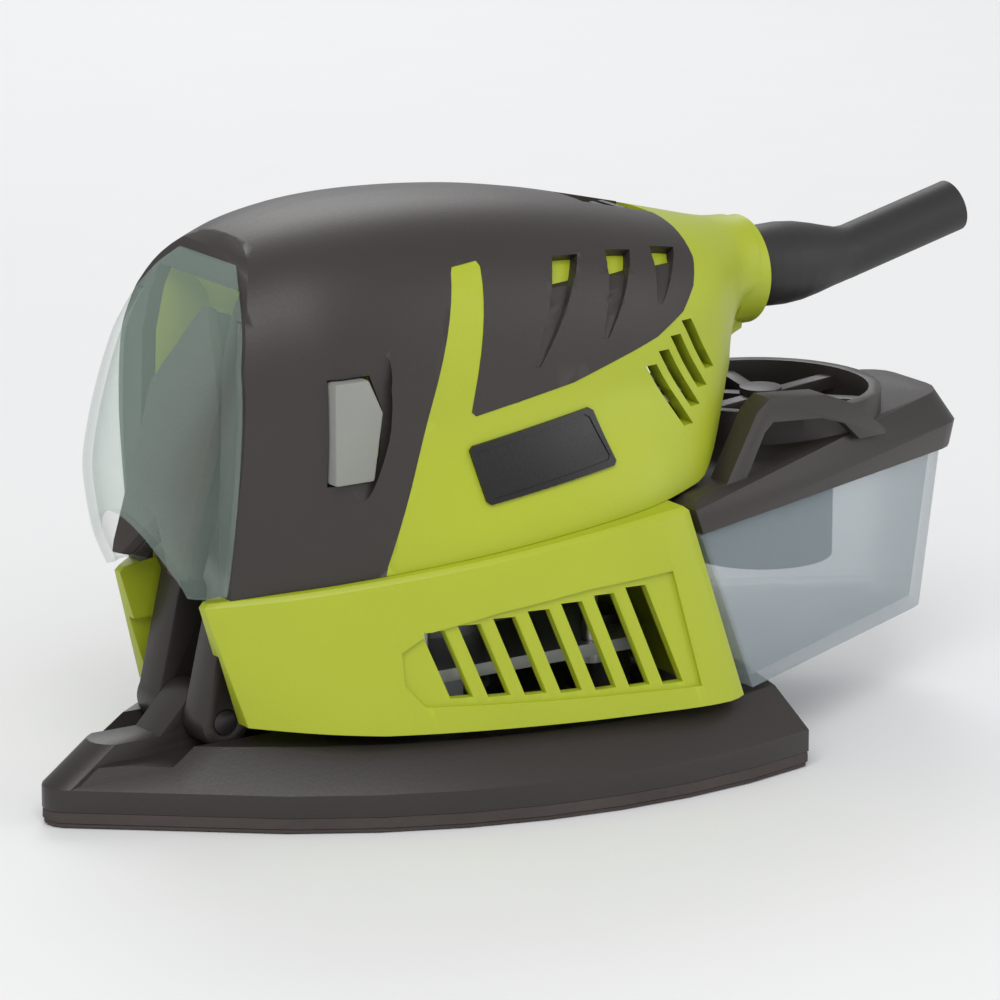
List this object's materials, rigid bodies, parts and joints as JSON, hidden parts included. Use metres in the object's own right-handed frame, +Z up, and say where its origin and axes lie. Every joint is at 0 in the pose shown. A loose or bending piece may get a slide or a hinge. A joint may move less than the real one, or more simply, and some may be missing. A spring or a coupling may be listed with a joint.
{
  "type": "detail sander",
  "caption": "Hand-held orbital detail sander with an iron-shaped pad, a fold-down finger pad under a clear cover and a clear dust box.",
  "frame": {"origin": "where the motor axis meets the sanding face", "axes": "+X from the pad's nose towards the cord, +Y to the tool's right, +Z up along the motor shaft"},
  "size_m": [0.216, 0.1062, 0.1153],
  "materials": {
    "green_plastic": "fine moulded texture",
    "charcoal_rubber": "soft satin overmould",
    "charcoal_plastic": "fine moulded texture",
    "badge": "satin",
    "steel": "machined",
    "copper": "enamelled wire",
    "cast_alloy": "cast",
    "black_plastic": "moulded",
    "rubber": "matte",
    "brass": "stamped",
    "carbon": "pressed carbon",
    "capacitor_yellow": "moulded",
    "foam": "grainy foam",
    "pin_black": "blackened",
    "clear_cover": "clear moulded",
    "grey_plastic": "moulded",
    "clear_bin": "clear moulded",
    "filter_fabric": "pleated"
  },
  "bodies": {
    "housing": {"housing_left": "green_plastic", "housing_right": "green_plastic", "grip_left": "charcoal_rubber", "grip_right": "charcoal_rubber", "skirt": "green_plastic", "badge_left": "badge", "badge_right": "badge", "field_core": "steel", "field_coils": "copper", "bearing_bracket": "cast_alloy", "upper_bearing": "steel", "lower_bearing": "steel", "bearing_plate": "cast_alloy", "fan_shroud": "black_plastic", "support_legs": "rubber", "brush_holders": "brass", "carbon_brushes": "carbon", "brush_springs": "steel", "switch_body": "black_plastic", "capacitor": "capacitor_yellow", "cord_guard": "rubber", "cord_clamp": "black_plastic", "housing_screws": "steel", "plate_screws": "steel", "dust_duct": "black_plastic", "button_spring_left": "steel", "button_spring_right": "steel"},
    "rotor": {"shaft": "steel", "armature_core": "steel", "armature_windings": "copper", "commutator": "copper", "fan": "black_plastic", "counterweight": "cast_alloy", "eccentric_screw": "steel"},
    "pad": {"pad_plate": "charcoal_plastic", "pad_foam": "foam", "hook_face": "foam", "pad_bearing": "steel", "hinge_pin": "pin_black"},
    "finger": {"finger_arm": "charcoal_plastic", "finger_plate": "charcoal_plastic", "finger_foam": "foam"},
    "cover": {"front_cover": "clear_cover"},
    "button_l": {"button_left": "grey_plastic"},
    "button_r": {"button_right": "grey_plastic"},
    "power": {"power_slider": "black_plastic"},
    "bin": {"dust_bin": "clear_bin"},
    "lid": {"dust_lid": "charcoal_plastic", "lid_seal": "rubber", "filter_element": "filter_fabric"}
  },
  "joints": [
    {"name": "motor_spin", "type": "hinge", "parent": "housing", "child": "rotor", "pos_m": [0, 0, 0.06], "axis": [0, 0, 1], "continuous": true},
    {"name": "pad_orbit", "type": "hinge", "parent": "rotor", "child": "pad", "pos_m": [0.001, 0, 0.01], "axis": [0, 0, 1], "continuous": true},
    {"name": "cover_pull", "type": "slide", "parent": "housing", "child": "cover", "axis": [-1, 0, 0], "range_m": [0, 0.15]},
    {"name": "finger_fold", "type": "hinge", "parent": "pad", "child": "finger", "pos_m": [-0.0522, 0, 0.0182], "axis": [0, -1, 0], "range_deg": [0, 106]},
    {"name": "button_left_press", "type": "slide", "parent": "housing", "child": "button_l", "axis": [0, 1, 0], "range_m": [0, 0.0025], "stiffness_N_per_m": 1200, "springref_m": -0.001},
    {"name": "button_right_press", "type": "slide", "parent": "housing", "child": "button_r", "axis": [0, -1, 0], "range_m": [0, 0.0025], "stiffness_N_per_m": 1200, "springref_m": -0.001},
    {"name": "power_slide", "type": "slide", "parent": "housing", "child": "power", "axis": [1, 0, 0], "range_m": [0, 0.005]},
    {"name": "dust_box_slide", "type": "slide", "parent": "housing", "child": "bin", "axis": [1, 0, 0], "range_m": [0, 0.11]},
    {"name": "lid_tilt", "type": "hinge", "parent": "bin", "child": "lid", "pos_m": [0.0372, 0, 0.0496], "axis": [0, -1, 0], "range_deg": [0, 40]}
  ],
  "couplings": [
    {"joint": "pad_orbit", "follows": "motor_spin", "ratio": -1},
    {"joint": "finger_fold", "follows": "cover_pull", "rad_per_m": 12.333},
    {"joint": "lid_tilt", "follows": "dust_box_slide", "rad_per_m": 6.3462}
  ]
}
